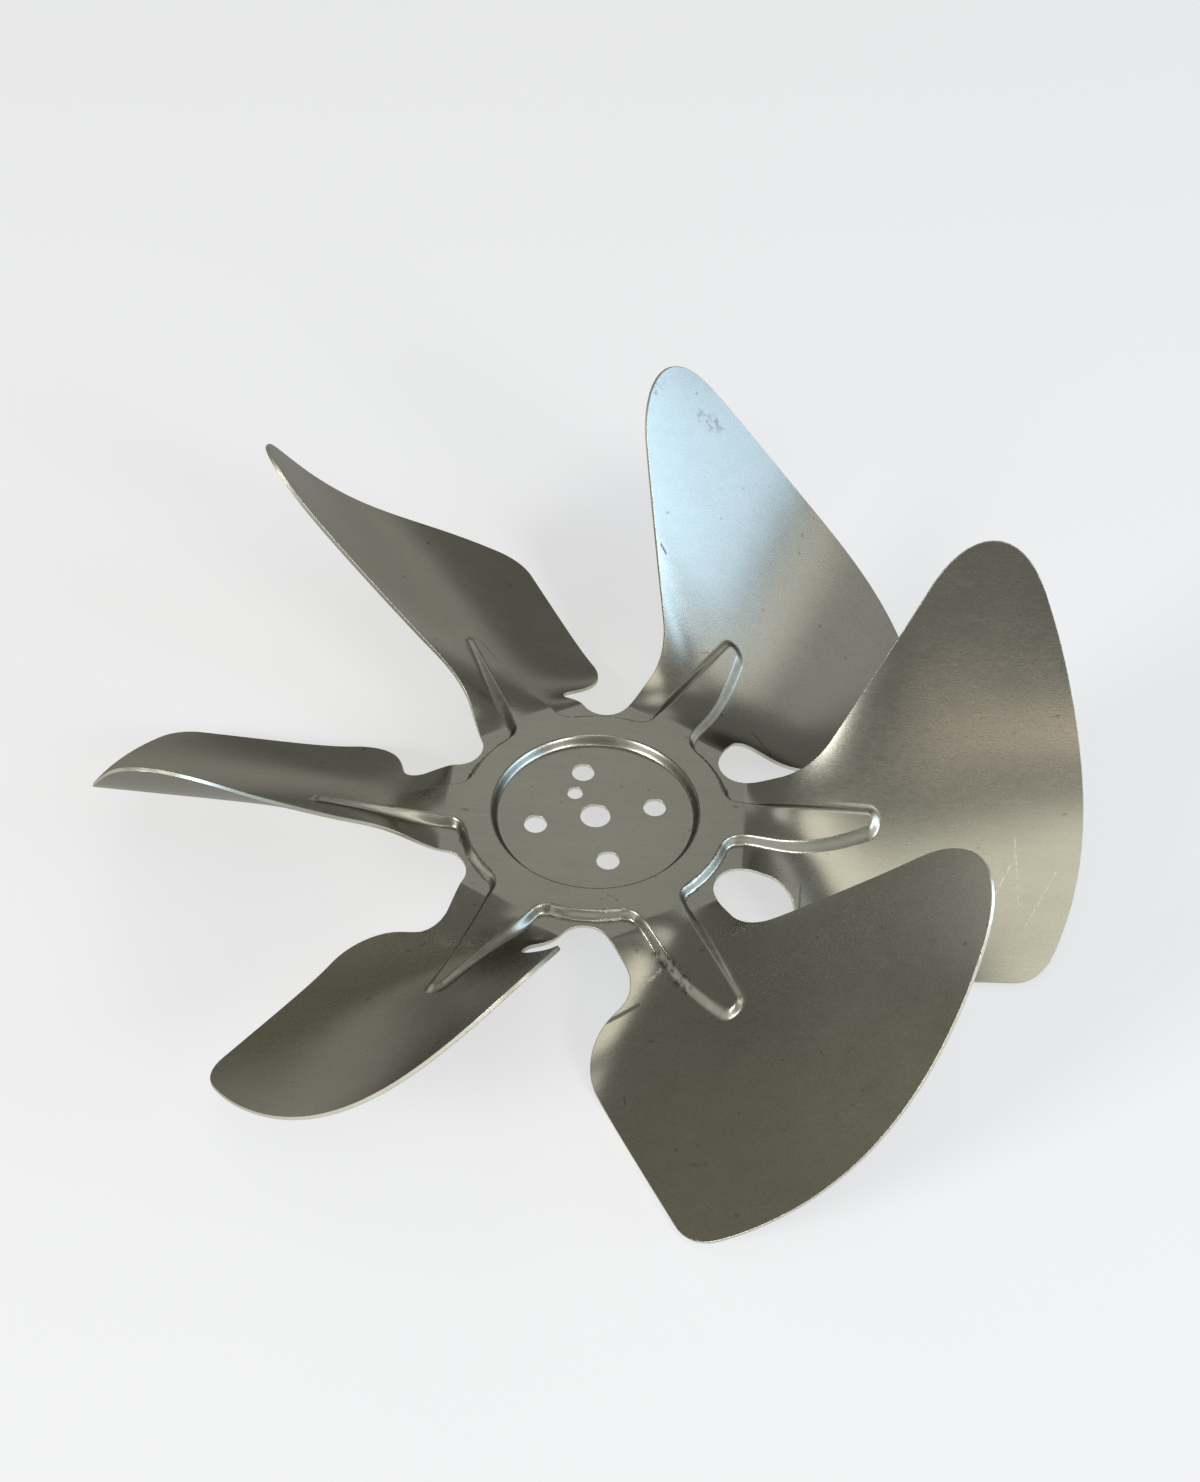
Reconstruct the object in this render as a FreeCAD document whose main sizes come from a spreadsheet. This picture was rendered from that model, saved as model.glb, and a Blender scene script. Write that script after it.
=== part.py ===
import math
import os

import FreeCAD
import Part
import Sketcher

# Axial fan impeller pressed from one sheet of aluminium.
# The axis of rotation is Z. The underside of the hub disc lies at Z = 0 and the raised ring faces +Z.
# Blade 0 points along +X and the others follow counter-clockwise, 60 degrees apart.

doc = FreeCAD.newDocument("impeller")

# Driving dimensions, in millimetres and degrees
sheet = doc.addObject("Spreadsheet::Sheet", "Sizes")
sizes = [
    ("thickness", 0.8),
    ("blade_count", 6),
    ("tip_radius", 101.6),
    ("bore_diameter", 6.35),
    ("bolt_circle", 25.4),
    ("bolt_count", 4),
    ("bolt_hole", 4.8),
    ("bolt_angle", 105.5),
    ("locating_hole", 3.3),
    ("locating_radius", 7.7),
    ("locating_angle", 127.4),
    ("disc_radius", 20.9),
    ("emboss", 2.0),
    ("draft", 10.0),
    ("ring_radius", 27.6),
    ("root_radius", 2.5),
    ("neck_half", 12.2),
    ("gap_radius", 5.6),
    ("rib_half_root", 4.6),
    ("rib_end_x", 56.7),
    ("rib_end_y", 1.5),
    ("rib_end_radius", 1.5),
    ("rib_drop", 1.1),
    ("ramp_length", 13.5),
    ("ramp_power", 1.6),
    ("rise_inner", -2.9),
    ("rise_tip", 4.9),
    ("pitch_inner", 45.0),
    ("pitch_tip", 35.3),
    ("camber_inner", 40.5),
    ("camber_tip", 57.7),
    ("reflex_inner", -5.2),
    ("reflex_tip", 4.7),
    ("tail_corner_share", 0.646),
    ("tail_corner_y", 43.7),
    ("tail_corner_radius", 16.4),
    ("nose_corner_share", 0.883),
    ("nose_corner_y", -27.1),
    ("nose_corner_radius", 9.1),
    ("heel_corner_x", 45.1),
    ("heel_corner_y", -26.9),
    ("heel_corner_radius", 12.4),
    ("notch_x", 40.9),
    ("notch_y", -11.3),
    ("notch_radius", 4.6),
    ("shoulder_x", 44.2),
    ("shoulder_y", 11.2),
    ("shoulder_radius", 12.0),
    ("rim_bulge", 16.0),
    ("bend_length", 10.2),
    # Small bends of the six blades, which the press and handling have left
    ("twist_a", 1.12),
    ("twist_b", 1.76),
    ("twist_c", 0.51),
    ("twist_d", -2.65),
    ("twist_e", 0.35),
    ("twist_f", 1.27),
    ("lift_a", 0.43),
    ("lift_b", 0.22),
    ("lift_c", -1.35),
    ("lift_d", 0.52),
    ("lift_e", 4.22),
    ("lift_f", -0.89),
    ("steeper_a", 0.051),
    ("steeper_b", 0.046),
    ("steeper_c", 0.02),
    ("steeper_d", 0.012),
    ("steeper_e", -0.036),
    ("steeper_f", 0.035),
    ("fuller_a", -0.022),
    ("fuller_b", -0.014),
    ("fuller_c", 0.102),
    ("fuller_d", 0.081),
    ("fuller_e", 0.179),
    ("fuller_f", 0.004),
    ("curl_a", -0.66),
    ("curl_b", -0.12),
    ("curl_c", -0.21),
    ("curl_d", -0.57),
    ("curl_e", 0.21),
    ("curl_f", -0.24),
]
for row, (name, value) in enumerate(sizes, start=1):
    sheet.set("A%d" % row, name)
    sheet.set("B%d" % row, str(value))
    sheet.setAlias("B%d" % row, name)
doc.recompute()


def size(name):
    return float(sheet.get(name))


t = size("thickness")
blades = int(size("blade_count"))
half_step = math.pi / blades
draft = math.radians(size("draft"))
ring_top = t + size("emboss")
neck_half = size("neck_half")
gap_radius = size("gap_radius")
# The round bottoms of the gaps end where the blades begin
neck = (neck_half + gap_radius) / math.tan(half_step)
span = size("tip_radius") - neck
# A drafted wall keeps the sheet thickness when its inner corner moves by this much
wall_step = t * (1 - math.sin(draft)) / math.cos(draft)
depth = 60.0


def vec(x, y, z=0.0):
    return FreeCAD.Vector(x, y, z)


def turned(shape, index):
    copy = shape.copy()
    copy.rotate(vec(0, 0), vec(0, 0, 1), 360.0 / blades * index)
    return copy


def arc(a, b, c):
    return Part.Arc(a, b, c).toShape()


def line(a, b):
    return Part.LineSegment(a, b).toShape()


def turn(point, angle):
    c, s = math.cos(angle), math.sin(angle)
    return vec(point.x * c - point.y * s, point.x * s + point.y * c, point.z)


def bisect(centre, first, second, radius):
    return centre + ((first - centre) + (second - centre)).normalize() * radius


# Blade surface

def smooth(value):
    value = max(0.0, min(1.0, value))
    return value * value * (3 - 2 * value)


def mix(inner, tip, share):
    return size(inner) + (size(tip) - size(inner)) * share


def blade_point(x, y, own):
    """Point of the upper face of a blade whose rib lies along +X, with its own small bends."""
    along = max(x - neck, 0.0)
    share = along / span
    ramp = 1 - math.exp(-((along / size("ramp_length")) ** size("ramp_power")))
    slope = math.tan(math.radians(mix("pitch_inner", "pitch_tip", share))) + own["steeper"] * share
    camber = y * y / 2 / mix("camber_inner", "camber_tip", share) * (1 + own["fuller"])
    reflex = mix("reflex_inner", "reflex_tip", share) * (y / 30.0) ** 3
    rise = mix("rise_inner", "rise_tip", share) + own["curl"] * share * share
    z = ramp * (rise + slope * y + camber + reflex)
    bend = smooth(along / size("bend_length"))
    a = math.radians(own["twist"]) * bend
    b = math.radians(own["lift"]) * bend
    y, z = y * math.cos(a) - z * math.sin(a), y * math.sin(a) + z * math.cos(a)
    x, z = neck + (x - neck) * math.cos(b) - z * math.sin(b), (x - neck) * math.sin(b) + z * math.cos(b)
    return vec(x, y, z + t)


def blade_normal(x, y, own):
    if x <= neck:
        return vec(0, 0, 1)
    step = 0.01
    dx = blade_point(x + step, y, own) - blade_point(x - step, y, own)
    dy = blade_point(x, y + step, own) - blade_point(x, y - step, own)
    return dx.cross(dy).normalize()


def bead_height(x):
    """Height of the rib above the blade, which falls from the ring to the rib's end."""
    return size("emboss") - size("rib_drop") * max(x - neck, 0.0) / (size("rib_end_x") - neck)


def face_pair(own, rows, columns, reach, low, high, bead):
    """Upper and lower face of a blade over a patch of it, with or without the height of the rib."""
    upper = []
    lower = []
    for i in range(rows + 1):
        x = neck + reach * (i / rows) ** 1.5
        top_row = []
        low_row = []
        for j in range(columns + 1):
            y = low + (high - low) * j / columns
            p = blade_point(x, y, own) + vec(0, 0, bead_height(x) if bead else 0.0)
            top_row.append(p)
            low_row.append(p - blade_normal(x, y, own) * t)
        upper.append(top_row)
        lower.append(low_row)
    volumes = []
    for grid in (upper, lower):
        surface = Part.BSplineSurface()
        surface.interpolate(grid)
        volumes.append(surface.toShape().extrude(vec(0, 0, -depth - 40)))
    return volumes


# Raised ring and ribs

rib_end = vec(size("rib_end_x"), size("rib_end_y"))


def rib_side(side):
    """Outward direction and distance from the axis of a rib's side, at +Y (side 1) or -Y (side -1)."""
    root = vec(neck, side * size("rib_half_root"))
    run = rib_end - root
    angle = math.atan2(run.y, run.x) + side * math.asin(size("rib_end_radius") / run.Length)
    n = vec(-side * math.sin(angle), side * math.cos(angle))
    return n, n.dot(root)


def star_corner(side, grow):
    """Round inner corner between ring and rib and the end of the rib's side, as four points."""
    n, c = rib_side(side)
    ring = size("ring_radius")
    root = size("root_radius")
    u = vec(side * n.y, -side * n.x)
    centre = n * (c + root) + u * math.sqrt((ring + root) ** 2 - (c + root) ** 2)
    on_rib = centre - n * (root - grow)
    on_ring = centre * ((ring + grow) / (ring + root))
    reach = neck + 4.0
    return on_ring, bisect(centre, on_rib, on_ring, root - grow), on_rib, vec(reach, (c + grow - reach * n.x) / n.y)


def star_wire(grow, z):
    """Outline of the ring with the roots of the ribs, grown outwards and set at a height."""
    edges = []
    right = star_corner(-1, grow)
    left = star_corner(1, grow)
    for k in range(blades):
        a = 2 * half_step * k
        r = [turn(p, a) + vec(0, 0, z) for p in right]
        q = [turn(p, a) + vec(0, 0, z) for p in left]
        half_way = turn(vec(size("ring_radius") + grow, 0, z), a + half_step)
        edges.append(arc(r[0], r[1], r[2]))
        edges.append(line(r[2], r[3]))
        edges.append(line(r[3], q[3]))
        edges.append(line(q[3], q[2]))
        edges.append(arc(q[2], q[1], q[0]))
        edges.append(arc(q[0], half_way, turn(right[0], a + 2 * half_step) + vec(0, 0, z)))
    return Part.Wire(edges)


def loft(first, second):
    return Part.makeLoft([first, second], True, True)


def star_volume(grow, top):
    drop = size("emboss") + t + 0.4
    return loft(star_wire(grow, top), star_wire(grow + drop * math.tan(draft), top - drop))


def rib_wire(grow, top, tilt, shift):
    """Outline of a rib on a plane that rises outwards with the blade, grown and moved up or down."""
    radius = size("rib_end_radius") + grow
    start = neck - 4.0
    points = []
    for side in (-1, 1):
        n, c = rib_side(side)
        points.append(vec(start, (c + grow - start * n.x) / n.y))
        points.append(rib_end + n * radius)
    points.append(bisect(rib_end, points[1], points[3], radius))
    a, b, c, d, middle = [p + vec(0, 0, top + shift + (p.x - neck) * tilt) for p in points]
    return Part.Wire([line(a, b), arc(b, middle, d), line(d, c), line(c, a)])


def rib_wedge(grow, top, tilt):
    """Volume between the drafted walls of a rib, well below and above the blade."""
    below = 12.0
    above = min(8.0, (size("rib_end_radius") + grow) / math.tan(draft) - 0.5)
    low = rib_wire(grow + below * math.tan(draft), top, tilt, -below)
    high = rib_wire(grow - above * math.tan(draft), top, tilt, above)
    return loft(low, high).cut(Part.makeBox(20, 60, 60, vec(neck - 20, -30, -30)))


# Plan outlines

def hub_outline(z):
    corner = vec(neck, neck_half)
    bottom = neck_half / math.sin(half_step) + gap_radius
    edges = []
    for k in range(blades):
        a = 2 * half_step * k
        p = [turn(vec(corner.x, -corner.y, z), a), turn(vec(corner.x, corner.y, z), a)]
        q = turn(vec(bottom, 0, z), a + half_step)
        r = turn(vec(corner.x, -corner.y, z), a + 2 * half_step)
        edges.append(line(p[0], p[1]))
        edges.append(arc(p[1], q, r))
    return Part.Face(Part.Wire(edges))


def corner_round(corner, before, after, radius):
    """Ends and middle of the arc that rounds the corner between two straight edges."""
    back = (before - corner).normalize()
    ahead = (after - corner).normalize()
    half = math.acos(back.dot(ahead)) / 2
    centre = corner + (back + ahead).normalize() * (radius / math.sin(half))
    first = corner + back * (radius / math.tan(half))
    second = corner + ahead * (radius / math.tan(half))
    return first, bisect(centre, first, second, radius), second


def rim_round(corner, other, rim_centre, rim_radius, radius):
    """Ends and middle of the arc that rounds the corner between a straight edge and the curved rim."""
    along = (other - corner).normalize()
    inward = rim_centre - corner
    inward = (inward - along * inward.dot(along)).normalize()
    start = corner + inward * radius
    offset = start - rim_centre
    b = offset.dot(along)
    root = math.sqrt(b * b - offset.dot(offset) + (rim_radius - radius) ** 2)
    reach = min((value for value in (-b - root, -b + root) if value > 0), key=abs)
    centre = start + along * reach
    on_line = centre - inward * radius
    on_rim = rim_centre + (centre - rim_centre).normalize() * rim_radius
    return on_line, bisect(centre, on_line, on_rim, radius), on_rim


def blade_outline(own):
    def spot(x, y):
        p = blade_point(x, y, own)
        return vec(p.x, p.y, -depth)

    root_high = vec(neck, neck_half, -depth)
    root_low = vec(neck, -neck_half, -depth)
    shoulder = spot(size("shoulder_x"), size("shoulder_y"))
    tail = spot(neck + span * size("tail_corner_share"), size("tail_corner_y"))
    nose = spot(neck + span * size("nose_corner_share"), size("nose_corner_y"))
    heel = spot(size("heel_corner_x"), size("heel_corner_y"))
    notch = spot(size("notch_x"), size("notch_y"))
    chord = nose - tail
    out = chord.cross(vec(0, 0, -1)).normalize()
    bulge = size("rim_bulge")
    rim_radius = ((chord.Length / 2) ** 2 + bulge ** 2) / (2 * bulge)
    middle = (tail + nose) * 0.5 + out * bulge
    rim_centre = middle - out * rim_radius
    s = corner_round(shoulder, root_high, tail, size("shoulder_radius"))
    a = rim_round(tail, shoulder, rim_centre, rim_radius, size("tail_corner_radius"))
    b = rim_round(nose, heel, rim_centre, rim_radius, size("nose_corner_radius"))
    c = corner_round(heel, nose, notch, size("heel_corner_radius"))
    d = corner_round(notch, heel, root_low, size("notch_radius"))
    edges = [
        line(root_low, root_high),
        line(root_high, s[0]),
        arc(*s),
        line(s[2], a[0]),
        arc(*a),
        arc(a[2], middle, b[2]),
        arc(b[2], b[1], b[0]),
        line(b[0], c[0]),
        arc(*c),
        line(c[2], d[0]),
        arc(*d),
        line(d[2], root_low),
    ]
    return Part.Face(Part.Wire(edges)).extrude(vec(0, 0, 2 * depth + 20))


# Hub

def cone(radius, low, high):
    grow = (high - low) * math.tan(draft)
    return Part.makeCone(radius, radius + grow, high - low, vec(0, 0, low))


def hub_volume(level, grow, recess):
    top = level + size("emboss")
    block = hub_outline(-8).extrude(vec(0, 0, level + 8))
    column = hub_outline(-8).extrude(vec(0, 0, 24))
    star = star_volume(grow, top).common(column)
    return block.fuse(star).cut(cone(recess, level, top + 1.5))


def hub_sheet():
    upper = hub_volume(t, 0.0, size("disc_radius"))
    lower = hub_volume(0.0, -wall_step, size("disc_radius") + wall_step)
    return upper.cut(lower)


# One blade

def blade_sheet(own):
    """Sheet between the lower and the upper side of a blade with its rib, cut to the outline."""
    bare = face_pair(own, 11, 9, span + 6.0, -42.0, 60.0, False)
    bead = face_pair(own, 7, 4, size("rib_end_x") - neck + 9.0, -13.0, 13.0, True)
    tilt = math.tan(math.radians(own["lift"]))
    above = bare[0].fuse(bead[0].common(rib_wedge(0.0, ring_top, tilt)))
    below = bare[1].fuse(bead[1].common(rib_wedge(-wall_step, ring_top - t, tilt)))
    return above.cut(below).common(blade_outline(own))


letters = "abcdef"
pieces = [hub_sheet()]
for k in range(blades):
    letter = letters[k % len(letters)]
    bends = {name: size(name + "_" + letter) for name in ("twist", "lift", "steeper", "fuller", "curl")}
    pieces.append(turned(blade_sheet(bends), k))
pressed = doc.addObject("Part::Feature", "pressed_sheet")
pressed.Shape = pieces[0].fuse(pieces[1:]).removeSplitter()

# Hub holes, punched through the pressed sheet

body = doc.addObject("PartDesign::Body", "impeller")
body.Label = "impeller"
body.BaseFeature = pressed
doc.recompute()
floor_plane = [f for f in body.Origin.OriginFeatures if f.Role == "XY_Plane"][0]


def punch(name, diameter, radius=None, angle=None):
    """Round hole through the hub disc, on the axis or at a radius and an angle."""
    sketch = body.newObject("Sketcher::SketchObject", name + "_sketch")
    sketch.AttachmentSupport = [(floor_plane, "")]
    sketch.MapMode = "FlatFace"
    x = y = 0.0
    if radius:
        x = size(radius) * math.cos(math.radians(size(angle)))
        y = size(radius) * math.sin(math.radians(size(angle)))
    sketch.addGeometry(Part.Circle(vec(x, y), vec(0, 0, 1), size(diameter) / 2), False)
    sketch.addConstraint(Sketcher.Constraint("Diameter", 0, size(diameter)))
    sketch.renameConstraint(0, "wide")
    sketch.setExpression("Constraints.wide", "Sizes." + diameter)
    if radius:
        sketch.addConstraint(Sketcher.Constraint("DistanceX", -1, 1, 0, 3, x))
        sketch.renameConstraint(1, "across")
        sketch.addConstraint(Sketcher.Constraint("DistanceY", -1, 1, 0, 3, y))
        sketch.renameConstraint(2, "upward")
        place = "Sizes.%s * %s(Sizes.%s * 1deg)"
        sketch.setExpression("Constraints.across", place % (radius, "cos", angle))
        sketch.setExpression("Constraints.upward", place % (radius, "sin", angle))
    else:
        sketch.addConstraint(Sketcher.Constraint("Coincident", 0, 3, -1, 1))
    doc.recompute()
    before = body.Shape.Volume
    pocket = body.newObject("PartDesign::Pocket", name)
    pocket.Profile = sketch
    pocket.Length = 2 * t
    pocket.setExpression("Length", "Sizes.thickness * 2")
    doc.recompute()
    expected = math.pi * size(diameter) ** 2 / 4 * t
    if abs(before - body.Shape.Volume - expected) > 0.02 * expected:
        pocket.Reversed = not pocket.Reversed
        doc.recompute()
    if abs(before - body.Shape.Volume - expected) > 0.02 * expected:
        raise RuntimeError(name + " did not cut the disc")
    return pocket


sheet.set("A%d" % (len(sizes) + 1), "bolt_radius")
sheet.set("B%d" % (len(sizes) + 1), "=bolt_circle / 2")
sheet.setAlias("B%d" % (len(sizes) + 1), "bolt_radius")
doc.recompute()
punch("centre_bore", "bore_diameter")
punch("locating_punch", "locating_hole", "locating_radius", "locating_angle")
bolt = punch("bolt_punch", "bolt_hole", "bolt_radius", "bolt_angle")
pattern = body.newObject("PartDesign::PolarPattern", "bolt_pattern")
pattern.Originals = [bolt]
pattern.Axis = (bolt.Profile[0], ["N_Axis"])
pattern.Angle = 360.0
pattern.Occurrences = int(size("bolt_count"))
pattern.setExpression("Occurrences", "Sizes.bolt_count")
body.Tip = pattern
doc.recompute()

# Checks and export

for item in doc.Objects:
    if "Invalid" in item.State or "Error" in item.State:
        raise RuntimeError(item.Name + " did not compute")
if body.Shape.isNull() or not body.Shape.isValid() or len(body.Shape.Solids) != 1:
    raise RuntimeError("the impeller is not one valid solid")
os.makedirs("parts", exist_ok=True)
body.Shape.exportStep("parts/%s.step" % body.Label)
box = body.Shape.BoundBox
print("impeller %.1f x %.1f x %.1f mm" % (box.XLength, box.YLength, box.ZLength))
print("volume %.0f mm3, faces %d" % (body.Shape.Volume, len(body.Shape.Faces)))
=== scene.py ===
import math

import bpy
import numpy as np
from mathutils.geometry import tessellate_polygon
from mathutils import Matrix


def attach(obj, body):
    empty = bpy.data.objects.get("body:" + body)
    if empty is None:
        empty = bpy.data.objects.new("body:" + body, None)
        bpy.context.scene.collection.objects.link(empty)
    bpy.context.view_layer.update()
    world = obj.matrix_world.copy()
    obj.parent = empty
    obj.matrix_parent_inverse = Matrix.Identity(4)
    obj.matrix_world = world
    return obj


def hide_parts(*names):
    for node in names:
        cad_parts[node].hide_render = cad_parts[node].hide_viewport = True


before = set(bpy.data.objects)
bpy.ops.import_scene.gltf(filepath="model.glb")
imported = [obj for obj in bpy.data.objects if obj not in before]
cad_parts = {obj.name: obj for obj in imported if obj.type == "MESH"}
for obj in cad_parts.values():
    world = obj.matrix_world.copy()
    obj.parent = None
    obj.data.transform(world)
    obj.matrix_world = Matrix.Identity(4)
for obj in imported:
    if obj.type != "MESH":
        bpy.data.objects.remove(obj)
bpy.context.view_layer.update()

# The impeller is one aluminium sheet, blanked flat with its gaps and holes and then pressed: the ring and
# the six ribs are raised, the necks twist and the blades take their pitch and camber.
# Lengths in this section are millimetres in a blade's own frame, with its rib along +X.

SHEET = 0.8  # thickness
TIP = 101.6  # radius of the blade tips
DISC = 20.9  # radius of the flat mounting disc
EMBOSS = 2.0  # height of ring and ribs above the disc
DRAFT = math.tan(math.radians(10.0))  # lean of their walls
RING = 27.6  # outer radius of the ring
ROOT = 2.5  # inner corner between ring and rib
NECK_HALF = 12.2  # half the width of a neck
GAP = 5.6  # radius of the round bottom of a gap
NECK = (NECK_HALF + GAP) * math.sqrt(3)  # from the axis to the line where a neck begins to bend
RIB_HALF = 4.6  # half the width of a rib at that line
RIB_END = np.array([56.7, 1.5])  # middle of a rib's round outer end
RIB_ROUND = 1.5  # radius of that end
RIB_DROP = 0.6  # what a rib loses of its height up to that end
BURR = 0.12  # round at a sheared edge
TRIM = 0.4  # what the blades' outline is drawn in by, so that it stays inside the CAD's box

NECK_PITCH = 45.0  # degrees, and what a blade loses of them up to its tip
PITCH_LOSS = 9.7
NECK_CAMBER = 40.5  # radius across the blade, and what it gains up to the tip
CAMBER_GAIN = 17.2
REFLEX_WIDTH = 30.0  # distance ahead of the rib at which the cubic below is measured
NECK_REFLEX = 5.2  # how far it turns the blade down there at the neck, and what it gains up to the tip
REFLEX_GAIN = 9.9
NECK_SINK = 2.9  # how far a blade's middle sinks at the neck, and what it rises from there up to the tip
RISE = 7.8
RAMP = 13.5  # length over which the blade's form sets in, and the power of its start
RAMP_POWER = 1.6
BEND = 10.2  # length of neck over which a blade's own twist and lift set in

# The small bends of each used blade: twist and lift in degrees, slope, share of camber, and tip curl
TWIST = (1.12, 1.76, 0.51, -2.65, 0.35, 1.27)
LIFT = (0.43, 0.22, -1.35, 0.52, 4.22, -0.89)
STEEPER = (0.051, 0.046, 0.02, 0.012, -0.036, 0.035)
FULLER = (-0.022, -0.014, 0.102, 0.081, 0.179, 0.004)
CURL = (-0.66, -0.12, -0.21, -0.57, 0.21, -0.24)

# Pressing radii make a soft wall round ring and ribs. Its middle lies outside the crest, and it is wider
# on a rib's far side: from 1 mm before the rib's line to 4 mm past it, and over the first 6 mm of neck.
WALL = 1.4
WALL_OUT = 0.35
WALL_FAR = 1.4
DISC_WALL = 1.5  # width of the wall round the disc


def rib_side(side):
    """Outward direction and distance from the axis of a rib's side: the tangent to its round end."""
    run = RIB_END - [NECK, side * RIB_HALF]
    angle = math.atan2(run[1], run[0]) + side * math.asin(RIB_ROUND / math.hypot(*run))
    n = np.array([-side * math.sin(angle), side * math.cos(angle)])
    return n, n @ [NECK, side * RIB_HALF]


def outside_crest(x, y):
    """Distance outside the outline of ring and ribs, with a round inner corner where they join: the lesser
    of the distances to both, less what a circle in that corner takes off."""
    rib = np.full_like(x, -np.inf)
    for side in (-1, 1):
        n, line = rib_side(side)
        rib = np.maximum(rib, n[0] * x + n[1] * y - line)
    beyond = (x - RIB_END[0]) * n[1] - (y - RIB_END[1]) * n[0] > 0
    rib = np.where(beyond, np.hypot(x - RIB_END[0], y - RIB_END[1]) - RIB_ROUND, rib)
    ring = np.hypot(x, y) - RING
    inner = np.hypot(np.maximum(ROOT - rib, 0), np.maximum(ROOT - ring, 0))
    return np.maximum(ROOT, np.minimum(rib, ring)) - inner


def smooth(share):
    """Three times the square less twice the cube, from 0 to 1 with level ends."""
    return share * share * (3 - 2 * share)


def raised(out, middle, wide):
    """Share of the full height on a wall: a soft step of a given width from 1 inside it to 0 outside."""
    return smooth(np.clip(0.5 + (middle - out) / wide, 0, 1))


def upper_face(x, y, blade):
    """Upper face of the pressed sheet. Its height is a ramp, 1 - exp(-(distance / length) ** power), times
    the sum of rise, pitch, camber (a parabola) and reflex (a cubic). The blade's own twist and lift turn
    it, and ring and rib stand on it between soft walls. The second value says how much of a point lies
    on such a wall: most at half height."""
    along = np.maximum(x - NECK, 0)
    share = along / (TIP - NECK)
    ramp = 1 - np.exp(-((along / RAMP) ** RAMP_POWER))
    pitch = np.tan(np.radians(NECK_PITCH - PITCH_LOSS * share)) + STEEPER[blade] * share
    camber = y * y / 2 / (NECK_CAMBER + CAMBER_GAIN * share) * (1 + FULLER[blade])
    reflex = (REFLEX_GAIN * share - NECK_REFLEX) * (y / REFLEX_WIDTH) ** 3
    rise = RISE * share - NECK_SINK + CURL[blade] * share * share
    z = ramp * (rise + pitch * y + camber + reflex)
    bend = smooth(np.clip(along / BEND, 0, 1))
    turn = math.radians(TWIST[blade]) * bend
    lift = math.radians(LIFT[blade]) * bend
    y, z = y * np.cos(turn) - z * np.sin(turn), y * np.sin(turn) + z * np.cos(turn)
    reach = x - NECK
    x = NECK + reach * np.cos(lift) - z * np.sin(lift)
    z = reach * np.sin(lift) + z * np.cos(lift)
    beyond = np.maximum(x - NECK, 0)
    height = EMBOSS - RIB_DROP * beyond / (RIB_END[0] - NECK)
    level = EMBOSS + beyond * math.tan(math.radians(LIFT[blade])) - z - height / 2
    far_side = np.clip(beyond / 6, 0, 1) * np.clip((y + 1) / 5, 0, 1)
    crest = raised(outside_crest(x, y), level * DRAFT + WALL_OUT, WALL + WALL_FAR * far_side)
    disc = raised(np.hypot(x, y) - DISC, DRAFT, DISC_WALL)
    z = z + height * crest - EMBOSS * disc
    return np.stack([x, y, z + SHEET], -1), 2 * np.sqrt(crest * (1 - crest) + disc * (1 - disc) / 2)


def face_and_normal(x, y, blade):
    """Points of the upper face, its unit normals from differences over a short step, and the share on a
    wall."""
    step = 0.02
    across = upper_face(x + step, y, blade)[0] - upper_face(x - step, y, blade)[0]
    along = upper_face(x, y + step, blade)[0] - upper_face(x, y - step, blade)[0]
    normal = np.cross(across, along)
    face, on_wall = upper_face(x, y, blade)
    return face, normal / np.linalg.norm(normal, axis=-1, keepdims=True), on_wall


def spread(stops, counts):
    """Values from stop to stop, with so many equal steps between each two."""
    parts = [np.linspace(a, b, n, endpoint=False) for a, b, n in zip(stops, stops[1:], counts)]
    return np.concatenate(parts + [stops[-1:]])


def arc(middle, start, end, steps=24):
    """Points about a middle, from one radius vector to another, turned in equal steps."""
    sweep = math.atan2(start[0] * end[1] - start[1] * end[0], float(start @ end))
    turn = np.linspace(0, sweep, steps)
    cos, sin = np.cos(turn), np.sin(turn)
    return middle + np.stack([start[0] * cos - start[1] * sin, start[0] * sin + start[1] * cos], -1)


def rounded_path(corners, radii):
    """Path through corners, each rounded by an arc that touches both its edges: its middle lies on the
    line that halves the corner, at radius / sin(half the angle)."""
    points = [corners[0]]
    for before, corner, after, radius in zip(corners, corners[1:], corners[2:], radii):
        back = (before - corner) / np.linalg.norm(before - corner)
        ahead = (after - corner) / np.linalg.norm(after - corner)
        half = math.acos(float(back @ ahead)) / 2
        middle = corner + (back + ahead) / np.linalg.norm(back + ahead) * radius / math.sin(half)
        start = corner + back * radius / math.tan(half) - middle
        end = corner + ahead * radius / math.tan(half) - middle
        points.extend(arc(middle, start, end))
    points.append(corners[-1])
    return np.array(points)


def rim_corner(corner, other, radius):
    """Arc that rounds the corner between a straight edge and the curved rim, from the edge to the rim: its
    middle lies a radius inside both, where a line beside the edge meets a smaller circle of the rim."""
    along = (other - corner) / np.linalg.norm(other - corner)
    inward = rim_centre - corner
    inward = inward - along * (inward @ along)
    inward = inward / np.linalg.norm(inward)
    offset = corner + inward * radius - rim_centre
    b = offset @ along
    root = math.sqrt(b * b - offset @ offset + (rim_radius - radius) ** 2)
    reach = min(value for value in (-b - root, -b + root) if value > 0)
    middle = rim_centre + offset + along * reach
    outward = (middle - rim_centre) / np.linalg.norm(middle - rim_centre)
    return arc(middle, -inward * radius, outward * radius)


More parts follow.
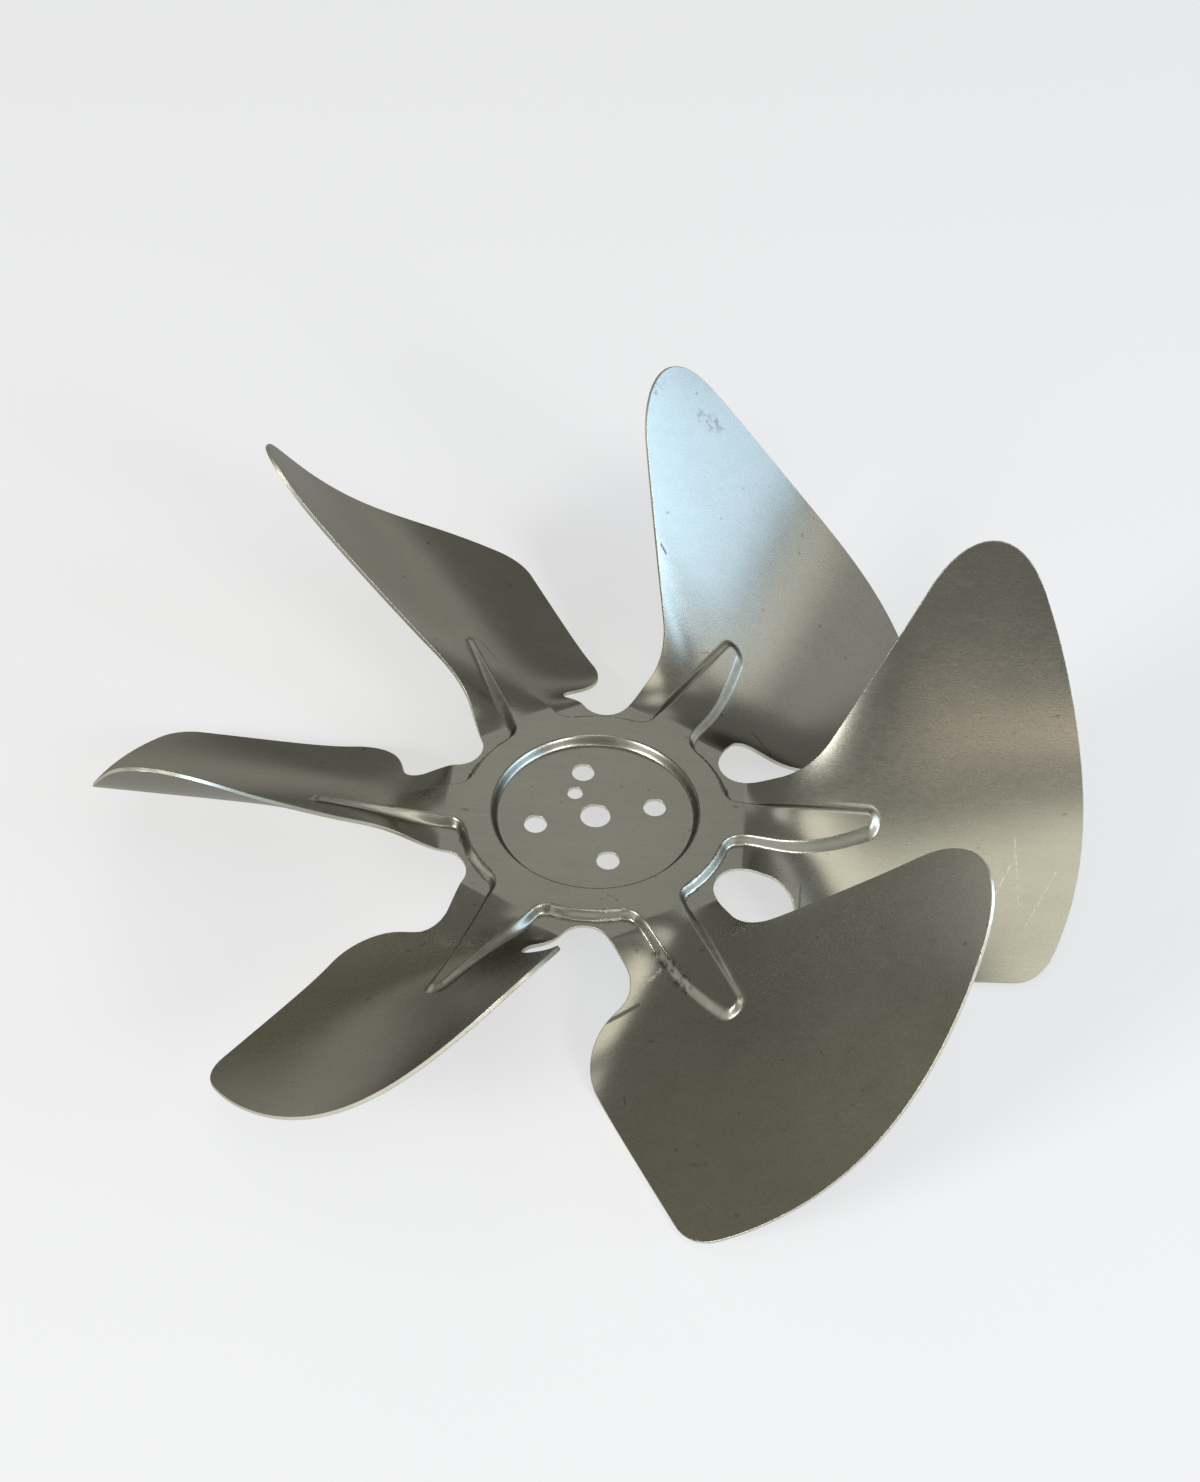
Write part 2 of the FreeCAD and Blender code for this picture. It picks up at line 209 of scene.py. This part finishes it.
# Corners of the blank, with the radius of each: tail and nose at the rim, so much of the way from the neck
# to the tip, heel and notch behind the rib, shoulder ahead of it. The rim is an arc that bulges between
# tail and nose.
TAIL = np.array([NECK + (TIP - NECK) * 0.646, 43.7])
TAIL_ROUND = 16.4
NOSE = np.array([NECK + (TIP - NECK) * 0.883, -27.1])
NOSE_ROUND = 9.1
HEEL = np.array([45.1, -26.9])
HEEL_ROUND = 12.4
NOTCH = np.array([40.9, -11.3])
NOTCH_ROUND = 4.6
SHOULDER = np.array([44.2, 11.2])
SHOULDER_ROUND = 12.0
RIM_BULGE = 16.0
chord = NOSE - TAIL
rim_radius = ((np.linalg.norm(chord) / 2) ** 2 + RIM_BULGE ** 2) / 2 / RIM_BULGE
outward = np.array([-chord[1], chord[0]]) / np.linalg.norm(chord)
rim_centre = (TAIL + NOSE) / 2 + outward * (RIM_BULGE - rim_radius)
tail_arc = rim_corner(TAIL, SHOULDER, TAIL_ROUND)
nose_arc = rim_corner(NOSE, HEEL, NOSE_ROUND)
left = rounded_path([np.array([NECK, NECK_HALF]), SHOULDER, tail_arc[0]], [SHOULDER_ROUND])
right = rounded_path([np.array([NECK, -NECK_HALF]), NOTCH, HEEL, nose_arc[0]], [NOTCH_ROUND, HEEL_ROUND])


def inset(path, side):
    """The path moved inwards across its run, by the burr at the neck and by burr and trim from 6 mm out."""
    path = path[np.append(True, np.linalg.norm(np.diff(path, axis=0), axis=1) > 1e-6)]
    run = np.gradient(path, axis=0)
    run = run / np.linalg.norm(run, axis=1, keepdims=True)
    inwards = (BURR + TRIM) * np.clip((path[:, :1] - NECK) / 6, BURR / (BURR + TRIM), 1)
    moved = path + side * np.stack([-run[:, 1], run[:, 0]], -1) * inwards
    moved[0, 0] = NECK
    return moved


left = inset(np.concatenate([left[:-1], tail_arc]), -1)
right = inset(np.concatenate([right[:-1], nose_arc]), 1)
rim_trim = rim_radius - BURR - TRIM

# Rows run across the blade from the neck to the rim, columns run outwards and follow the rib.
# The rows lie close together over the notch and over the rib's end. Beyond it they bend, at first gently,
# until the last one, nominally at 100, follows the rim.
NOTCH_ROWS = (37, 47)
RIB_END_ROWS = (54.5, 60)
LAST_ROW = 100
rows = spread([NECK, *NOTCH_ROWS, *RIB_END_ROWS, LAST_ROW], [9, 16, 9, 17, 22])
stretch = np.clip((rows - RIB_END_ROWS[1]) / (LAST_ROW - RIB_END_ROWS[1]), 0, 1)[:, None] ** 1.5


def side_of_blade(path, lengths):
    """Point of a side for each row: the lengths along it, one for each stop of the rows, give its corners
    rows of their own, and the last row takes its end."""
    length = np.append(0, np.cumsum(np.linalg.norm(np.diff(path, axis=0), axis=1)))
    at = np.interp(rows, [NECK, *NOTCH_ROWS, RIB_END_ROWS[1], LAST_ROW], [*lengths, length[-1]])
    return np.stack([np.interp(at, length, path[:, 0]), np.interp(at, length, path[:, 1])], -1)


right_side = side_of_blade(right, [0, 6.5, 30, 43])
left_side = side_of_blade(left, [0, 6.5, 18, 34])


def beside_rib(side, out):
    """Where a line so far outside a side of the rib crosses each row. Past 57 it runs straight out, and
    from 55 to the last row it moves away evenly by 2 mm."""
    n, line = rib_side(side)
    straight = (line + out - np.minimum(rows, 57) * n[0]) / n[1]
    return straight + side * 2.0 * np.clip((rows - 55) / (LAST_ROW - 55), 0, 1)


def rim_x(y):
    """Where the rim's arc crosses a given height y."""
    return rim_centre[0] + np.sqrt(rim_trim ** 2 - (y - rim_centre[1]) ** 2)


# Columns of the middle part: over both walls of the rib, from so far outside its crest to so far inside,
# they lie close together
beside = [beside_rib(-1, 1.9), beside_rib(-1, -0.7), beside_rib(1, -1.3), beside_rib(1, 2.0)]
middle_y = spread(beside, [14, 4, 13]).T
middle_x = rows[:, None] + (rim_x(middle_y[-1])[None, :] - rows[-1]) * stretch
middle_part = np.stack([middle_x, middle_y], -1)


def flank_part(edge, side):
    """Columns between the foot of the rib and one side of the blade: each row is divided evenly, and the
    rows bend until the last one follows the rim."""
    share = np.linspace(0, 1, 16)[1:-1, None]
    straight = edge[:, None, :] * (1 - share) + side[:, None, :] * share
    first, last = (math.atan2(y, x) for x, y in (edge[-1] - rim_centre, side[-1] - rim_centre))
    angle = first + (last - first) * share[:, 0]
    rim = rim_centre + rim_trim * np.stack([np.cos(angle), np.sin(angle)], -1)
    return straight + (rim - straight[-1]) * stretch[:, :, None]


right_part = flank_part(middle_part[:, 0], right_side)[:, ::-1]
left_part = flank_part(middle_part[:, -1], left_side)
columns = [right_side[:, None], right_part, middle_part, left_part, left_side[:, None]]
blade_grid = np.concatenate(columns, 1)

# The hub's part of the same sixty degrees is polar, from the flat of the disc out to the neck line and the
# round gap bottoms. Its rows lie close together over the wall round the disc.
DISC_FLAT = 19.4
DISC_WALL_ROWS = (20.1, 22.2)
RING_ROW = 26.4
neck_angles = np.arctan2(blade_grid[0, :, 1], NECK)
gap_angles = np.linspace(neck_angles[-1], math.pi / 6, 9)[1:]
gap_columns = len(gap_angles)
angles = np.concatenate([-gap_angles[::-1], neck_angles, gap_angles])
gap_centre = 2 * (NECK_HALF + GAP)
turned_in = gap_centre * np.sin(math.pi / 6 - np.abs(angles))
outer = gap_centre * np.cos(math.pi / 6 - np.abs(angles))
outer = outer - np.sqrt(np.maximum((GAP + BURR) ** 2 - turned_in ** 2, 0))
outer[gap_columns:-gap_columns] = NECK / np.cos(neck_angles)
inner_radii = spread([DISC_FLAT, *DISC_WALL_ROWS, RING_ROW], [1, 9, 3])
outer_radii = RING_ROW + (outer - RING_ROW)[None, :] * np.linspace(0, 1, 17)[1:, None]
radii = np.concatenate([np.repeat(inner_radii[:, None], len(angles), 1), outer_radii])
hub_grid = np.stack([radii * np.cos(angles), radii * np.sin(angles)], -1)

point_parts, normal_parts, quad_parts, wall_parts, place_parts = [], [], [], [], []


def add_grid(grid, blade):
    """Adds both faces of a grid of the blank, turned to its blade's place, the lower one a sheet thickness
    below along the normal, and gives the numbers of their points."""
    face, normal, on_wall = face_and_normal(grid[..., 0], grid[..., 1], blade)
    turn = blade * math.pi / 3
    spin = np.array([[math.cos(turn), math.sin(turn), 0], [-math.sin(turn), math.cos(turn), 0], [0, 0, 1]])
    face, normal, place = face @ spin, normal @ spin, (grid @ spin[:2, :2]).reshape(-1, 2)
    index = np.arange(on_wall.size).reshape(on_wall.shape)
    corners = np.stack([index[:-1, :-1], index[1:, :-1], index[1:, 1:], index[:-1, 1:]], -1).reshape(-1, 4)
    numbers = []
    for below, way in ((0, 1), (1, -1)):
        count = sum(len(part) for part in point_parts)
        point_parts.append((face - below * SHEET * normal).reshape(-1, 3))
        normal_parts.append((way * normal).reshape(-1, 3))
        quad_parts.append(corners[:, ::way] + count)
        wall_parts.append(np.stack([on_wall, np.full_like(on_wall, 1 - below)], -1).reshape(-1, 2))
        place_parts.append(np.insert(place, 2, below, 1))
        numbers.append(index + count)
    return numbers


edges = []
rings = []
for blade in range(6):
    for hub_index, blade_index in zip(add_grid(hub_grid, blade), add_grid(blade_grid, blade)):
        edges.append(np.concatenate([
            hub_index[-1, :gap_columns + 1],
            blade_index[1:, 0],
            blade_index[-1, 1:],
            blade_index[-2::-1, -1],
            hub_index[-1, -gap_columns:-1],
        ]))
        rings.append(hub_index[0, :-1])
points, normals = np.concatenate(point_parts), np.concatenate(normal_parts)
quads, walls = np.concatenate(quad_parts), np.concatenate(wall_parts)

# Points that two grids share are made one: those that have the same place on the flat blank, to half a
# thousandth of a millimetre, and lie on the same face. The quarter keeps zero off the rounding's edge.
key = np.round(np.concatenate(place_parts) * 2000 + 0.25).astype(np.int64)
_, first, same = np.unique(key, axis=0, return_index=True, return_inverse=True)
same = same.reshape(-1)
points, normals, walls = points[first], normals[first], walls[first]
face_points = len(points)
faces = [same[quads]]
top_edge, low_edge = same[np.concatenate(edges[0::2])], same[np.concatenate(edges[1::2])]
top_ring, low_ring = same[np.concatenate(rings[0::2])], same[np.concatenate(rings[1::2])]


def add_points(new, facing):
    """Adds points to the sheet, each with the normal that it faces along, and gives their numbers."""
    global points, normals
    points = np.concatenate([points, new])
    normals = np.concatenate([normals, facing])
    return np.arange(len(points) - len(new), len(points))


def sheared_edge(top, low, outward):
    """Edge of the sheet along a closed loop: a burr's round at both corners and a flat between them."""
    n = normals[top]
    high = add_points(points[top] + outward * BURR - n * BURR, outward)
    base = add_points(points[low] + outward * BURR + n * BURR, outward)
    ranks = [top, high, base, low]
    for a, b in zip(ranks, ranks[1:]):
        faces.append(np.stack([a, b, np.roll(b, -1), np.roll(a, -1)], -1))


run = points[np.roll(top_edge, -1)] - points[np.roll(top_edge, 1)]
outward = np.cross(run, normals[top_edge])
sheared_edge(top_edge, low_edge, outward / np.linalg.norm(outward, axis=1, keepdims=True))

# Hub holes, punched: the bore, four bolt holes on their circle and the small locating hole, with their
# diameters, how far from the axis the last one lies, and the directions of the first bolt hole and of it
BORE = 6.35
BOLT_HOLE = 4.8
BOLT_CIRCLE = 25.4
BOLT_TURN = 105.5
LOCATING_HOLE = 3.3
LOCATING_REACH = 7.7
LOCATING_TURN = 127.4
holes = [(BORE, 0.0, 0.0)]
holes += [(BOLT_HOLE, BOLT_CIRCLE / 2, BOLT_TURN + 90 * quarter) for quarter in range(4)]
holes.append((LOCATING_HOLE, LOCATING_REACH, LOCATING_TURN))
turn = np.linspace(0, 2 * math.pi, 64, endpoint=False)[::-1]
ray = np.stack([np.cos(turn), np.sin(turn), 0 * turn], -1)
up = np.tile([0.0, 0.0, 1.0], (len(turn), 1))
hole_tops, hole_lows = [], []
for wide, reach, direction in holes:
    middle = [reach * math.cos(math.radians(direction)), reach * math.sin(math.radians(direction)), 0]
    circle = middle + ray * (wide / 2 + BURR)
    hole_tops.append(add_points(circle + [0, 0, SHEET], up))
    hole_lows.append(add_points(circle, -up))
    sheared_edge(hole_tops[-1], hole_lows[-1], -ray)


def disc_faces(ring, inner, way):
    """Triangles of the flat disc between its outer ring of points and its holes, facing up or down."""
    loops = [ring] + inner
    cut = np.array(tessellate_polygon([[points[i] for i in loop] for loop in loops]))
    cut = np.concatenate(loops)[cut]
    a, b, c = points[cut[:, 0]], points[cut[:, 1]], points[cut[:, 2]]
    turned = np.cross(b - a, c - a)[:, 2] * way < 0
    cut[turned] = cut[turned][:, ::-1]
    return cut


faces += [disc_faces(top_ring, hole_tops, 1), disc_faces(low_ring, hole_lows, -1)]
mesh = bpy.data.meshes.new("pressed_sheet")
mesh.from_pydata((points * 0.001).tolist(), [], [face for group in faces for face in group.tolist()])
mesh.validate()
mesh.shade_smooth()
mesh.normals_split_custom_set_from_vertices(normals.tolist())


def paint(name, values, others):
    """Stores a value at each point of the sheet: first those of its two faces, then those of its edges."""
    values = np.concatenate([values, others])
    mesh.attributes.new(name, "FLOAT", "POINT").data.foreach_set("value", values)


edge_points = len(points) - face_points
sheared = np.ones(edge_points)
sheared[np.concatenate(hole_tops + hole_lows) - face_points] = 0
paint("wall", walls[:, 0], np.zeros(edge_points))
paint("upper", walls[:, 1], np.zeros(edge_points))
paint("cut", np.zeros(face_points), sheared)
sheet = bpy.data.objects.new("pressed_sheet", mesh)
bpy.context.scene.collection.objects.link(sheet)
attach(sheet, "root")
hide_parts("impeller")

# Its mill finish is the skin that the rolls left: fine grain and streaks along X, cloudy stains from
# handling, specks of dirt, walls lightened partly by the press tool's burnish and partly as painted light
# against their dark shading, scratches and nicks of use, and painted shade along creases.

ALUMINIUM = (0.34, 0.332, 0.275, 1)
GRAZING = (0.45, 0.44, 0.42, 1)  # what it keeps of a mirrored light at a grazing angle
RELIEF = 0.000003  # depth of its grain in metres


def fill(slot, value):
    """Links a value to a socket, or sets a plain number, vector or colour on it."""
    if isinstance(value, Value):
        value.tree.links.new(value.socket, slot)
    else:
        slot.default_value = value


class Value:
    """A socket that can be used in arithmetic: each operation on it adds its Math node."""

    def __init__(self, tree, socket):
        self.tree, self.socket = tree, socket

    @staticmethod
    def make(tree, kind, settings, output, **inputs):
        """Any other node: its settings come first, then the values or links of its sockets, each under
        its name or as i_ and its number. What comes back is the value at one of its outputs."""
        node = tree.nodes.new(kind)
        for name, setting in settings.items():
            setattr(node, name, setting)
        for name, value in inputs.items():
            key = int(name[2:]) if name.startswith("i_") else name.replace("_", " ")
            fill(node.inputs[key], value)
        return Value(tree, node.outputs[output])

    def math(self, operation, *others):
        """One Math node on this value and up to two others."""
        node = self.tree.nodes.new("ShaderNodeMath")
        node.operation = operation
        for slot, value in zip(node.inputs, (self,) + others):
            fill(slot, value)
        return Value(self.tree, node.outputs[0])

    def __add__(self, other):
        return self.math("ADD", other)

    def __sub__(self, other):
        return self.math("SUBTRACT", other)

    def __rsub__(self, other):
        return self * -1.0 + other

    def __mul__(self, other):
        return self.math("MULTIPLY", other)

    __radd__, __rmul__ = __add__, __mul__

    def between(self, low, high):
        """Smooth step from 0 at low to 1 at high."""
        smooth_step = {"interpolation_type": "SMOOTHSTEP"}
        return Value.make(self.tree, "ShaderNodeMapRange", smooth_step, 0, i_0=self, i_1=low, i_2=high)


metal = bpy.data.materials.new("mill_aluminium")
metal.use_nodes = True
tree = metal.node_tree
shader = tree.nodes["Principled BSDF"]
shader.inputs["Metallic"].default_value = 1.0
shader.inputs["Specular Tint"].default_value = GRAZING
place = Value.make(tree, "ShaderNodeTexCoord", {}, "Object")


def noise(scale, stretch=(1, 1, 1), detail=2.0, roughness=0.5, shift=(0, 0, 0)):
    """Cloudy noise whose grains are 1 / scale metres, longer where stretch is below one."""
    mapped = Value.make(tree, "ShaderNodeMapping", {}, 0, Vector=place, Scale=stretch, Location=shift)
    sizes = {"Scale": scale, "Detail": detail, "Roughness": roughness}
    return Value.make(tree, "ShaderNodeTexNoise", {}, "Fac", Vector=mapped, **sizes)


def painted(name):
    """Value stored at the points of the sheet."""
    return Value.make(tree, "ShaderNodeAttribute", {"attribute_name": name}, "Fac")


across_x = Value.make(tree, "ShaderNodeSeparateXYZ", {}, 0, Vector=place) * 1000.0
across_y = Value.make(tree, "ShaderNodeSeparateXYZ", {}, 1, Vector=place) * 1000.0


def stroke(x0, y0, x1, y1, half):
    """One along a line on the sheet, seen from above in millimetres, and zero beyond half its width: a
    point's distance is measured to the nearest point between the line's two ends."""
    run = math.hypot(x1 - x0, y1 - y0)
    ux, uy = (x1 - x0) / run, (y1 - y0) / run
    along = (across_x - x0) * ux + (across_y - y0) * uy
    aside = (across_y - y0) * ux - (across_x - x0) * uy
    over = along - along.math("MAXIMUM", 0.0).math("MINIMUM", run)
    away = (over * over + aside * aside).math("SQRT")
    return 1.0 - away.between(half * 0.3, half)


def any_of(masks):
    """Largest of several masks."""
    most = masks[0]
    for mask in masks[1:]:
        most = most.math("MAXIMUM", mask)
    return most


grain = noise(2100.0, (0.24, 1.0, 1.0), 2.0, 0.55)
streak = noise(420.0, (0.10, 1.0, 1.0), 3.0, 0.6)
cloud = noise(26.0, (1, 1, 1), 4.0, 0.6)
mottle = noise(170.0, (0.6, 1, 1), 4.0, 0.65, (3, 1, 2))
speck = noise(520.0, (0.8, 1, 1), 1.0, 0.5, (5, 5, 5)).between(0.74, 0.79)
wall, upper, cut = painted("wall"), painted("upper"), painted("cut")

# Dark nicks on the blades, and painted shade along creases at three of the notches
dark_marks_and_crease_shade = any_of([
    stroke(71.7, 32.5, 74.5, 32.3, 0.3),
    stroke(43.6, -10.1, 43.4, -15.1, 0.35),
    stroke(10.0, 60.0, 11.1, 59.3, 0.35),
    stroke(32.7, 35.0, 37.3, 30.1, 0.35),
    stroke(5.4, -46.8, 11.6, -43.6, 0.5),
    stroke(9.9, -61.1, 10.2, -62.4, 0.3),
])

# Two smudges near the far blade's tip, broken up along the grain
smudge = any_of([stroke(17.2, 86.9, 20.9, 88.9, 1.6), stroke(6.5, 82.4, 7.9, 84.6, 1.6)])
smudge = smudge * noise(900.0, (0.3, 1, 1), 3.0, 0.6, (4, 1, 1)).between(0.48, 0.6)

# Bright scratches, which skip
scored = any_of([
    stroke(88.3, -3.1, 83.6, -11.2, 0.3),
    stroke(87.5, -1.2, 89.0, -13.4, 0.3),
    stroke(96.1, -7.1, 90.3, -16.2, 0.3),
    stroke(-10.7, -46.3, -8.2, -50.5, 0.4),
    stroke(12.4, -40.4, 15.4, -37.6, 0.5),
])
skipping = noise(900.0, (1, 1, 1), 2.0, 0.5, (2, 7, 1)).between(0.42, 0.56)

# Dark scuffing on the wall of the near right rib
galled = stroke(14.5, -34.5, 21.0, -42.0, 1.6) * noise(700.0, (1, 1, 1), 4.0, 0.7).between(0.45, 0.6)

# Nicks and smudges, with the creases' painted shade, darken the upper face only
dark_marks_and_crease_shade = (dark_marks_and_crease_shade + smudge * 0.4) * upper
scored = scored * skipping * upper
tone = 1.0 + (cloud - 0.5) * 0.26 + (grain - 0.5) * 0.12 + (streak - 0.5) * 0.14 + (mottle - 0.5) * 0.10
tone = tone * (1.0 - speck * 0.3) * (1.0 - dark_marks_and_crease_shade * 0.5) * (1.0 - galled * 0.6)
# The walls are painted lighter: partly the press tool's burnish, partly painted light against their dark
# shading
tone = tone * (1.0 + scored * 0.9) * (1.0 + wall * streak * 0.7) * (1.0 + cut * 1.1)
multiply = {"data_type": "RGBA", "blend_type": "MULTIPLY"}
base = Value.make(tree, "ShaderNodeMix", multiply, 2, i_0=1.0, i_6=ALUMINIUM, i_7=tone)
rough = 0.265 + (cloud - 0.5) * 0.04 + (grain - 0.5) * 0.08 + (mottle - 0.5) * 0.03
rough = rough + wall * 0.07 + dark_marks_and_crease_shade * 0.2 + scored * 0.15 + cut * 0.15
relief = grain + streak * 0.5 + mottle * 0.8
bump = Value.make(tree, "ShaderNodeBump", {}, 0, Strength=1.0, Distance=RELIEF, Height=relief)
fill(shader.inputs["Base Color"], base)
fill(shader.inputs["Roughness"], rough)
fill(shader.inputs["Normal"], bump)
mesh.materials.append(metal)

# The floor is a pale sheet of paper under the lowest blade corners. The camera and the metal see it mostly
# as bright paper, and it keeps the impeller's shadow. Its colour is painted darker further out, down to the
# room's grey: a painted falloff of light.

FLOOR_HALF = 4.0
PAPER = 0.9  # how pale the paper is under the impeller, and how much darker it is painted further out, a painted falloff of light
PAINTED_PAPER_FALLOFF = 0.55
PAPER_GLOW = 1.04  # how much brighter than its colour the glow is, and its share in what is seen
GLOW_SHARE = 0.62
low = float(points[:, 2].min()) * 0.001
floor_corners = [(x * FLOOR_HALF, y * FLOOR_HALF, low) for x, y in ((-1, -1), (1, -1), (1, 1), (-1, 1))]
floor_mesh = bpy.data.meshes.new("floor")
floor_mesh.from_pydata(floor_corners, [], [(0, 1, 2, 3)])
floor = bpy.data.objects.new("floor", floor_mesh)
bpy.context.scene.collection.objects.link(floor)
paper = bpy.data.materials.new("paper")
paper.use_nodes = True
tree = paper.node_tree
matt = tree.nodes["Principled BSDF"]
matt.inputs["Roughness"].default_value = 0.9
matt.inputs["Specular IOR Level"].default_value = 0.0
camera_ray, glossy_ray, clear_ray = (
    Value.make(tree, "ShaderNodeLightPath", {}, kind)
    for kind in ("Is Camera Ray", "Is Glossy Ray", "Is Transmission Ray")
)
seen = camera_ray + glossy_ray + clear_ray
floor_place = Value.make(tree, "ShaderNodeTexCoord", {}, "Object")
reach = Value.make(tree, "ShaderNodeVectorMath", {"operation": "LENGTH"}, "Value", i_0=floor_place)
# Painted falloff of light: the paper's colour is painted darker from 0.45 m out to 1.6 m
pale = PAPER - reach.between(0.45, 1.6) * PAINTED_PAPER_FALLOFF
glow = Value.make(tree, "ShaderNodeEmission", {}, 0, Color=pale * PAPER_GLOW, Strength=1.0)
plain = Value(tree, matt.outputs[0])
both = Value.make(tree, "ShaderNodeMixShader", {}, 0, i_0=seen * GLOW_SHARE, i_1=plain, i_2=glow)
fill(matt.inputs["Base Color"], pale)
fill(tree.nodes["Material Output"].inputs["Surface"], both)
floor_mesh.materials.append(paper)

# The room gives an even grey from all sides. Its soft boxes stand where the blades mirror the photo's
# room: a blue window low on the right with a pale curtain over it, dim boxes above, and a cream box and a
# narrow warm strip high behind the camera. Two strong low ones, mirrored by little, give the plain level.

world = bpy.data.worlds.new("room")
bpy.context.scene.world = world
world.use_nodes = True
world.node_tree.nodes["Background"].inputs["Color"].default_value = (1.0, 0.99, 0.96, 1)
world.node_tree.nodes["Background"].inputs["Strength"].default_value = 0.24


def lamp(name, azimuth, elevation, distance, size, radiance, colour=(1, 1, 1)):
    """A soft box that looks at the hub from a direction in degrees. Its power is radiance times pi times
    its area, so that it mirrors as bright as its radiance."""
    data = bpy.data.lights.new(name, "AREA")
    data.shape = "RECTANGLE"
    data.size, data.size_y = size
    data.energy = radiance * math.pi * size[0] * size[1]
    data.color = colour
    box = bpy.data.objects.new(name, data)
    turn, rise = math.radians(azimuth), math.radians(elevation)
    box.location = (
        distance * math.cos(rise) * math.cos(turn),
        distance * math.cos(rise) * math.sin(turn),
        distance * math.sin(rise),
    )
    box.rotation_euler = (math.pi / 2 - rise, 0, turn + math.pi / 2)
    bpy.context.scene.collection.objects.link(box)


lamp("overhead", 90, 88, 1.6, (0.5, 0.5), 1.2)
lamp("back", 94, 47, 1.6, (0.5, 0.4), 0.62)
lamp("window", 0, 11.5, 1.3, (0.75, 0.40), 4.2, (0.50, 0.70, 1.0))
lamp("window_left", -16, 23, 1.3, (0.34, 0.60), 6.4, (0.52, 0.72, 1.0))
lamp("curtain", 7, 29, 1.4, (0.5, 0.2), 1.5, (1.0, 0.94, 0.86))
lamp("upper", 14, 46, 1.5, (0.45, 0.4), 0.5)
lamp("side", -79, 62, 1.5, (0.66, 0.54), 1.85, (1.0, 0.98, 0.90))
lamp("strip", -76, 36.5, 1.5, (0.36, 0.06), 5.6, (1.0, 0.84, 0.72))
lamp("sky_near", -48, 27, 1.5, (0.4, 0.4), 13.0)
lamp("sky_left", -140, 26, 1.5, (0.45, 0.45), 20.0)

# The camera stands where the photograph's did. Its place, and its focal length and optical centre in
# pixels, were solved from the outline, the ribs and the holes.

PHOTO_WIDE = 1200
PHOTO_HIGH = 1482
FOCAL_LENGTH = 2317.4
CENTRE_ACROSS = 682.7
CENTRE_DOWN = 758.5
camera_data = bpy.data.cameras.new("camera")
camera_data.sensor_fit = "HORIZONTAL"
camera_data.sensor_width = 36
camera_data.lens = FOCAL_LENGTH / PHOTO_WIDE * camera_data.sensor_width
camera_data.shift_x = (PHOTO_WIDE / 2 - CENTRE_ACROSS) / PHOTO_WIDE
camera_data.shift_y = (CENTRE_DOWN - PHOTO_HIGH / 2) / PHOTO_WIDE
camera_data.clip_start = 0.02
camera = bpy.data.objects.new("camera", camera_data)
camera.location = (0.01313, -0.32764, 0.35753)
camera.rotation_euler = (0.76856, -0.05047, 0.03933)
bpy.context.scene.collection.objects.link(camera)
bpy.context.scene.camera = camera
bpy.context.scene.view_settings.view_transform = "Standard"
